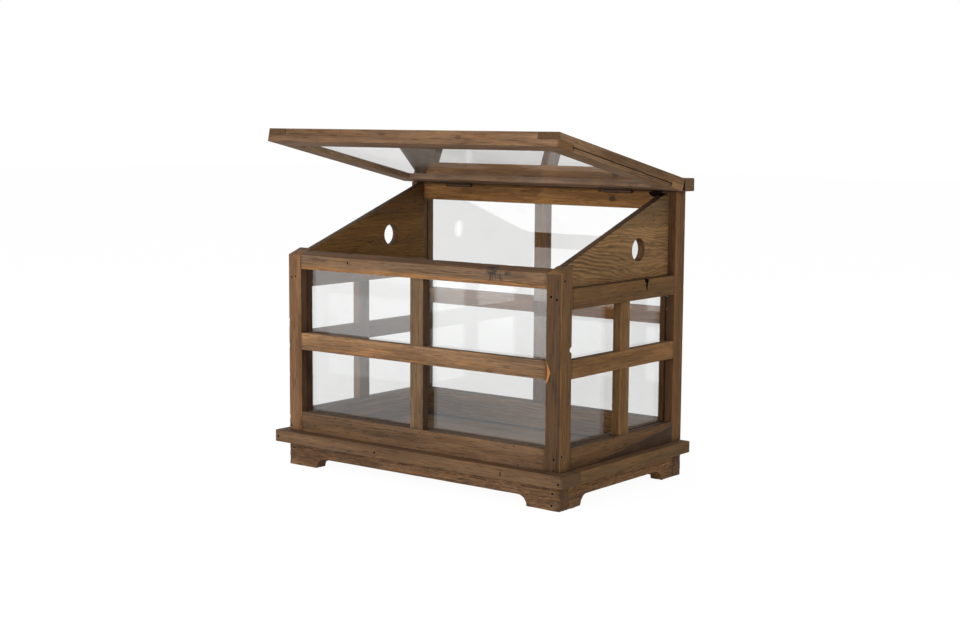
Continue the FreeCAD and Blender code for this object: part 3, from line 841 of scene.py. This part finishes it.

# painted shade: each post's side tint darkens a face that sits in shade
posts = {
    "front_left": {
        "tint": (0.9, 0.82, 0.8),
        "sides": [(facing(1, 0, 0), (0.38, 0.33, 0.31))],
        "holes": [
            nailHole(-244.2, postFront, 285, 1.4),
            nailHole(-235.9, postFront, 287, 1.4),
            nailHole(-247, postFront, 60, 1.4),
        ],
    },
    "front_right": {
        "tint": (0.9, 0.84, 0.65),
        "sides": [(facing(0, -1, 0), (0.35, 0.31, 0.26))],
        "holes": [
            nailHole(232.7, postFront, 288.7, 1.7),
            nailHole(242.4, postFront, 285.5, 1.7),
            nailHole(239.8, postFront, 70.3, 1.7),
            nailHole(240, postFront, 55.5, 1.3),
            nailHole(postRight, -148, 310, 1.5, (1, 0, 0)),
            nailHole(postRight, -151, 75, 1.5, (1, 0, 0)),
        ],
        # a fresh split beside the middle rail and a bite out of the far edge
        "fresh": [chipCut(spot(224, -156.2, 187), spot(8.8, 4.4, 16))],
        "bites": [chipCut(spot(247, -129, 217), spot(9, 6.5, 4.6))],
    },
    "rear_left": {},
    "rear_right": {"tint": (0.83, 0.71, 0.48), "sides": [(facing(0, -1, 0), (0.44, 0.35, 0.23))]},
}
for place, look in posts.items():
    node = "post_" + place
    post = {
        "node": node,
        "along": "z",
        "wood": woods["post"],
        "trims": [(seatPoint, seatOut)] if place.startswith("front") else [],
        "chips": 9,
        **look,
    }
    side, end = place.split("_")
    addBoard(side + end.title() + "Post", post)
print("posts ready")

# painted light and shade: the side tints darken the top rail's seat face and the muntins' side faces,
# and lighten the back middle rail's inner face
rails = {
    "front_top": {
        "tint": (1.0, 1.08, 1.32),
        "wood": woods["topRail"],
        "holes": [nailHole(-130.8, postFront, 312.6)],
        "trims": [(seatPoint, seatOut)],
        "sides": [(facing(*seatOut), (0.55, 0.5, 0.5))],
    },
    "front_middle": {"tint": (1.18, 1.19, 1.3), "wood": woods["midRail"]},
    "front_muntin": {"tint": (0.83, 0.9, 1.0), "sides": [(facing(1, 0, 0), (0.36, 0.37, 0.38))]},
    "front_bottom": {"tint": (0.71, 0.71, 0.77), "wood": woods["lowRail"]},
    # painted light lifts this rail, which sits in shade; its top corner is broken away under the lid,
    # the hollow painted black as shade
    "back_top": {
        "tint": (1.45, 1.29, 0.95),
        "wood": woods["backRail"],
        "holes": [chipCut(spot(217, 129.5, 415.5), spot(14, 5, 4.5))],
    },
    "back_middle": {"sides": [(facing(0, -1, 0), (2.2, 1.9, 1.7))]},
    "back_muntin": {"tint": (1.12, 1.05, 1.0)},
    # a dark drop-shaped split from the right top rail's upper edge
    "right_top": {
        "tint": (0.71, 0.65, 0.43),
        "wood": woods["sideTop"],
        "holes": [
            chipCut(spot(postRight, 54, 297), spot(7, 5, 5.5)),
            chipCut(spot(postRight, 54.3, 290), spot(6, 2.4, 8)),
        ],
    },
    "right_middle": {"tint": (1.1, 1.02, 0.78)},
    "right_muntin": {"tint": (1.02, 0.98, 0.7), "sides": [(facing(0, -1, 0), (0.62, 0.58, 0.4))]},
    "right_bottom": {"tint": (0.58, 0.52, 0.42), "wood": woods["sideLow"]},
}


def halfOf(box, deep, isUpper):
    # one half of a box's depth, run past its outer side
    low, high = box[0].copy(), box[1].copy()
    middle = (low[deep] + high[deep]) / 2
    if isUpper:
        low[deep] = middle
        high[deep] += over
    else:
        high[deep] = middle
        low[deep] -= over
    return low, high


for wall in ("front", "back", "left", "right"):
    isLong = wall in ("front", "back")
    run = 0 if isLong else 1
    deep = 1 - run
    span = {run: (-inX, inX)} if isLong else {run: (-inY, inY)}
    between = {2: (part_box(wall + "_bottom_rail")[1].z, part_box(wall + "_top_rail")[0].z)}
    upright = boxOf(wall + "_muntin")
    cross = boxOf(wall + "_middle_rail")
    outIsLow = wall in ("front", "left")
    for row in ("bottom", "middle", "top"):
        rail = {
            "node": wall + "_" + row + "_rail",
            "along": "xy"[run],
            "wood": woods["rail"],
            "within": span,
            "chips": 7,
            **rails.get(wall + "_" + row, {}),
        }
        if "sides" not in rail:
            # painted shade darkens the tops
            topShade = tuple(part * 0.5 for part in rail.get("tint", untinted))
            rail["sides"] = [(facing(0, 0, 1), topShade)]
        if row == "middle":
            # halved over the muntin, which loses its outer half
            low, high = halfOf(upright, deep, outIsLow)
            low.z = cross[0].z - over
            high.z = cross[1].z + over
            rail["tools"] = [slab(low, high)]
        addBoard(wall + row.title() + "Rail", rail)
    low, high = halfOf(upright, deep, not outIsLow)
    low.z = cross[0].z
    high.z = cross[1].z
    low[run] -= over
    high[run] += over
    muntin = {
        "node": wall + "_muntin",
        "along": "z",
        "wood": woods["rail"],
        "within": between,
        "tools": [slab(low, high)],
        "chips": 6,
        **rails.get(wall + "_muntin", {}),
    }
    addBoard(wall + "Muntin", muntin)
print("walls ready")

# each cheek is two boards edge to edge, the lower one pierced by the vent
seam = 372 * mm
for hand in ("left", "right"):
    node = hand + "_cheek"
    low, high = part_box(node)
    lows = [v.co.z for v in nodes[node].data.vertices if v.co.y < low.y + 0.5 * mm]
    rim = [v.co for v in nodes[node].data.vertices if low.z + 8 * mm < v.co.z < low.z + 70 * mm]
    rim = [co for co in rim if abs(co.y) < high.y - 10 * mm]
    ventLow = Vector([min(co[i] for co in rim) for i in range(3)])
    ventHigh = Vector([max(co[i] for co in rim) for i in range(3)])
    ventMiddle = (ventLow + ventHigh) / 2
    ventRadius = (ventHigh.z - ventLow.z) / 2
    slope = (Vector((0, low.y, max(lows))), seatOut)

    def inVent(face):
        return abs(face.normal.x) < 0.5 and (face.center - ventMiddle).yz.length < ventRadius + mm

    ventShade = (inVent, (0.33, 0.28, 0.21))
    slopeShade = (facing(*seatOut), (0.24, 0.21, 0.17))
    cheek = {
        "node": node,
        "along": "y",
        "wood": woods["cheek" if hand == "right" else "farCheek"],
        "within": {2: (0.0, seam)},
        "trims": [slope],
        "tools": [rodCut(ventMiddle, Vector((1, 0, 0)), ventRadius, 60 * mm, 48)],
        "ease": 0.5 * mm,
        "pith": (0.11, 0.03, 0.1),
        # painted shade: the left cheek, inside under the lid, is darkened
        "tint": (0.86, 0.84, 0.82) if hand == "right" else (0.62, 0.53, 0.3),
        "sides": [ventShade, slopeShade],
    }
    addBoard(hand + "Cheek", cheek)
    upper = {
        "node": node,
        "along": "y",
        "wood": woods["cheekTop"],
        "within": {2: (seam, 1.0)},
        "trims": [slope],
        "ease": 0.5 * mm,
        "chips": 2,
        "sides": [slopeShade],
        # the left upper board is darkened likewise: painted shade
        "tint": (0.9, 0.9, 0.9) if hand == "right" else (0.58, 0.48, 0.34),
    }
    if hand == "right":
        # broken away under the lid, the hollow painted black as shade
        upper["holes"] = [chipCut(spot(231, 115, 417.5), spot(9, 20, 4.4))]
    addBoard(hand + "CheekUpper", upper)
print("cheeks ready")

ridge = {
    "node": "ridge_strip",
    "along": "x",
    "wood": woods["ridge"],
    "ease": 1.0 * mm,
    # painted shade: the front face, in the gap under the lid's rear edge, is darkened
    "sides": [(facing(0, -1, 0), (0.16, 0.13, 0.1))],
}
addBoard("ridgeStrip", ridge)

# lid members lie half over each other at the corners: stiles above, rails below
frontLow, frontHigh = boxOf("lid_front_rail")
rearLow, rearHigh = boxOf("lid_rear_rail")
leftLow, leftHigh = boxOf("lid_left_stile")
lapLevel = (frontLow.z + frontHigh.z) / 2
stileWidth = leftHigh.x - leftLow.x
# the rear edge leans away from the ridge strip towards its foot
leanOut = Vector((0, rearHigh.z - rearLow.z, -4.5 * mm)).normalized()
rearLean = (Vector((0, rearHigh.y, rearHigh.z)), leanOut)
rearShade = (facing(*leanOut), (0.18, 0.15, 0.12))
for end, low, high in (("front", frontLow, frontHigh), ("rear", rearLow, rearHigh)):
    tools = []
    for a, b in ((low.x - over, low.x + stileWidth), (high.x - stileWidth, high.x + over)):
        lapLow = Vector((a, low.y - over, lapLevel))
        lapHigh = Vector((b, high.y + over, high.z + over))
        tools.append(slab(lapLow, lapHigh))
    rail = {
        "node": "lid_" + end + "_rail",
        "along": "x",
        "wood": woods["lidFront" if end == "front" else "lid"],
        "tools": tools,
        "chips": 9,
        "tint": (0.9, 0.86, 0.89),
    }
    if end == "rear":
        # painted light: the rail's face, in shade under the lid, is lightened
        rail["tint"] = (1.35, 1.5, 2.0)
        rail["trims"] = [rearLean]
        rail["sides"] = [rearShade]
        specks = [(dice.uniform(128, 216), dice.uniform(1.5, 4)) for _ in range(16)]
        rail["fresh"] = [chipCut(Vector((x * mm, low.y, low.z)), spot(w, 0.9, 0.9)) for x, w in specks]
    addBoard("lid" + end.title() + "Rail", rail)
slotLevel = (lidPaneBox[0].z + lidPaneBox[1].z) / 2
slotEnds = [frontHigh.y + 1.2 * mm, rearLow.y - 1.0 * mm]


def slotHoles(x):
    # the drilled ends of the slot that the pane slides in through
    return [rodCut(Vector((x, y, slotLevel)), Vector((1, 0, 0)), 1.9 * mm, 6 * mm) for y in slotEnds]


for hand in ("left", "right"):
    low, high = boxOf("lid_" + hand + "_stile")
    tools = []
    for a, b in ((low.y - over, frontHigh.y), (rearLow.y, high.y + over)):
        lapLow = Vector((low.x - over, a, low.z - over))
        lapHigh = Vector((high.x + over, b, lapLevel))
        tools.append(slab(lapLow, lapHigh))
    stile = {
        "node": "lid_" + hand + "_stile",
        "along": "y",
        "wood": woods["lidStile"],
        "tools": tools,
        "chips": 8,
        "holes": slotHoles(high.x) if hand == "right" else [],
        "trims": [rearLean],
        "sides": [rearShade],
    }
    # painted light: the left stile's inner side, in shade under the lid, is lightened
    if hand == "left":
        stile["sides"].append((facing(1, 0, 0), (1.35, 1.5, 1.6)))
    addBoard("lid" + hand.title() + "Stile", stile)
# a lip stands up along the bead's outer edge, where the pane stops short
beadLow, beadHigh = boxOf("lid_glass_bead")
lip = 1.2 * mm
lipDepth = 4 * mm
beadCut = slab(
    beadLow - Vector((over, over, -(beadHigh.z - beadLow.z))),
    beadHigh + Vector((-lipDepth, over, over)),
)
bead = {
    "node": "lid_glass_bead",
    "along": "y",
    "wood": woods["lid"],
    "grow": {2: lip},
    "tools": [beadCut],
    "ease": 0.2 * mm,
    "uneven": 0.05 * mm,
    "chips": 0,
    "holes": slotHoles(beadHigh.x),
}
addBoard("lidGlassBead", bead)
bar = {
    "node": "lid_muntin",
    "along": "y",
    "wood": woods["lid"],
    "within": {1: (frontHigh.y, rearLow.y)},
}
addBoard("lidMuntin", bar)
print("lid ready")

stripHoles = [
    nailHole(-258.5, stripFront, 43.7, 1.7),
    nailHole(-65.8, stripFront, 43.4, 1.7),
    nailHole(258.9, stripFront, 41.8, 1.7),
    chipCut(spot(162.5, stripFront, 43), spot(1.0, 2, 3.6)),
]
# the floor stops short of the rear strip
floorGap = [slab(spot(-224, 128, 42), spot(224, 131, 44.4))]
apronHoles = [
    nailHole(238, postFront, 23.7, 1.6),
    nailHole(236.6, postFront, 7.1, 1.5),
    nailHole(-241.7, postFront, 25.7, 1.6),
]
archHeight = 15 * mm
archRadius = 14.4 * mm
for side in ("front", "rear", "left", "right"):
    isLong = side in ("front", "rear")
    isFront = side == "front"
    strip = {
        "node": "base_strip_" + side,
        "along": "x" if isLong else "y",
        "wood": woods["base"],
        "ease": 1.6 * mm,
        "holes": {"front": stripHoles, "rear": floorGap}.get(side, []),
        "chips": 8,
        "tint": (0.68, 0.68, 0.72) if isLong else (0.72, 0.69, 0.51),
        # painted shade: the strips' tops are darkened
        "sides": [(facing(0, 0, 1), (0.5, 0.46, 0.42))],
    }
    if isFront:
        low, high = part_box("base_strip_front")

        def frontCorner(at):
            return abs(at.x) > high.x - mm and at.y < low.y + mm

        strip["rounded"] = {"radius": 3 * mm, "choose": frontCorner}
    addBoard("baseStrip" + side.title(), strip)
    low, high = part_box("apron_" + side)
    run = 0 if isLong else 1
    archHalf = 195 * mm if isLong else 104 * mm
    archLow, archHigh = low.copy(), high.copy()
    archLow[run], archHigh[run] = -archHalf, archHalf
    archLow[1 - run] -= over
    archHigh[1 - run] += over
    archLow.z = -30 * mm
    archHigh.z = archHeight

    def archCorner(at):
        return at.z > archHeight - mm and abs(abs(at[run]) - archHalf) < mm

    arch = slab(archLow, archHigh)
    eased(arch, archRadius, 8, archCorner)
    apron = {
        "node": "apron_" + side,
        "along": "x" if isLong else "y",
        "wood": woods["apron"],
        "tools": [arch],
        "ease": 0.9 * mm,
        "uneven": 0.2 * mm,
        "furrows": 0.7 * mm,
        "step": 7 * mm,
        "holes": apronHoles if isFront else [],
        "chips": 12,
        "tint": (0.95, 0.91, 0.95) if isLong else (0.95, 0.86, 0.72),
    }
    addBoard("apron" + side.title(), apron)
for name in sorted(nodes):
    if name.startswith("corner_block"):
        block = {"node": name, "along": "z", "wood": woods["apron"], "chips": 3}
        addBoard("cornerBlock" + name[len("corner_block"):].title().replace("_", ""), block)
floorBoard = {"node": "floor_panel", "along": "x", "wood": woods["floor"], "chips": 2}
addBoard("floorPanel", floorBoard)
print("base ready")

lidPaneShort = 4.6 * mm  # leaves room for the bead's lip
paneFinish = {"lid_glass": lidPane, "left_glass": sidePane, "right_glass": sidePane}
for pane in panes + ["lid_glass"]:
    low, high = boxOf(pane)
    if pane == "lid_glass":
        high.x -= lidPaneShort
    shape = slab(low, high)
    eased(shape, 0.3 * mm, 2)
    finish = paneFinish.get(pane, paneGlass)
    mesh = meshOf(shape, [finish])
    if pane == "lid_glass":
        mesh.transform(liftLid)
    first, second = pane.split("_")
    addPiece(first + second.title(), mesh, pane)

for name, node in nodes.items():
    steel = hingeSteel if "hinge" in name else nailSteel if "nails" in name else None
    if steel:
        node.data.materials.clear()
        node.data.materials.append(steel)
print("glass and steel ready")

# the photo's camera
lensAt = Vector((1.50212, -1.93792, 0.5237))
azimuth, pitch, roll = (math.radians(angle) for angle in (37.904, 6.94, 0.348))
ahead = math.cos(pitch)
forward = Vector((-math.sin(azimuth) * ahead, math.cos(azimuth) * ahead, -math.sin(pitch)))
level = Vector((math.cos(azimuth), math.sin(azimuth), 0))
above = level.cross(forward)
rightward = level * math.cos(roll) + above * math.sin(roll)
upward = above * math.cos(roll) - level * math.sin(roll)
camera = bpy.data.objects.new("camera", bpy.data.cameras.new("camera"))
bpy.context.scene.collection.objects.link(camera)
turn = Matrix((rightward, upward, -forward)).transposed().to_4x4()
camera.matrix_world = Matrix.Translation(lensAt) @ turn
camera.data.sensor_width = 36.0
camera.data.lens = 62.371
camera.data.clip_start = 0.01
camera.data.clip_end = 100.0
bpy.context.scene.camera = camera


def picturedRays(maker):
    # rays that show in the picture: straight, mirrored or through glass
    straight = maker.node("LightPath", output="Is Camera Ray")
    mirrored = straight.other("Is Glossy Ray")
    passed = straight.other("Is Transmission Ray")
    return straight.does("MAXIMUM", mirrored).does("MAXIMUM", passed), mirrored


floorMesh = bpy.data.meshes.new("floor")
floorShape = bmesh.new()
bmesh.ops.create_grid(floorShape, x_segments=1, y_segments=1, size=12.0)
bmesh.ops.translate(floorShape, vec=(0, 0, -0.3 * mm), verts=floorShape.verts)
floorShape.to_mesh(floorMesh)
floorShape.free()
floor = bpy.data.objects.new("floor", floorMesh)
bpy.context.scene.collection.objects.link(floor)
floorMaterial, floorMaker = makeMaterial("floor")
seen, mirrored = picturedRays(floorMaker)
dull = floorMaker.node("BsdfDiffuse", inputs={"Color": (0.9, 0.9, 0.9, 1)})
# painted reflection: in mirrored rays only, the floor glows brighter far off in front of the cabinet, so
# the panes mirror the far floor brighter than the floor close by
ground = floorMaker.node("TexCoord", output="Object")
spread = floorMaker.vector("LENGTH", ground).other("Value")
behind = floorMaker.fade(floorMaker.split(ground)[1], 0.0, 0.9)
gleam = mirrored * floorMaker.fade(spread, 0.6, 2.6) * (0.75 - behind * 0.85) + 1.06
glow = floorMaker.node("Emission", inputs={"Color": (1, 1, 1, 1), "Strength": gleam})
floorMaker.surface(floorMaker.node("MixShader", inputs={0: seen * 0.9, 1: dull, 2: glow}))
floorMesh.materials.append(floorMaterial)

world = bpy.data.worlds.new("studio")
world.use_nodes = True
bpy.context.scene.world = world
sky = Maker(world.node_tree)
# full white where it shows, dimmer as a light
unseen = 0.4
strength = picturedRays(sky)[0] * (1 - unseen) + unseen
background = sky.node("Background", inputs={"Color": (1, 1, 1, 1), "Strength": strength})
sky.node("OutputWorld", inputs={"Surface": background})

aim = Vector((0, 0, 0.25))
lamps = {
    "key": {"at": (-1.0, -2.8, 1.5), "size": 1.4, "watts": 50.0},
    "fill": {"at": (2.6, -0.6, 1.4), "size": 1.8, "watts": 18.5},
    "bounce": {"at": (0.8, -1.9, 0.08), "size": 1.0, "watts": 16.0},
}
for name, lamp in lamps.items():
    light = bpy.data.lights.new(name, "AREA")
    light.energy = lamp["watts"]
    light.size = lamp["size"]
    item = bpy.data.objects.new(name, light)
    bpy.context.scene.collection.objects.link(item)
    item.location = lamp["at"]
    item.rotation_mode = "QUATERNION"
    item.rotation_quaternion = (aim - Vector(lamp["at"])).to_track_quat("-Z", "Y")
print("camera and lights ready")

bpy.context.scene.view_settings.view_transform = "Standard"
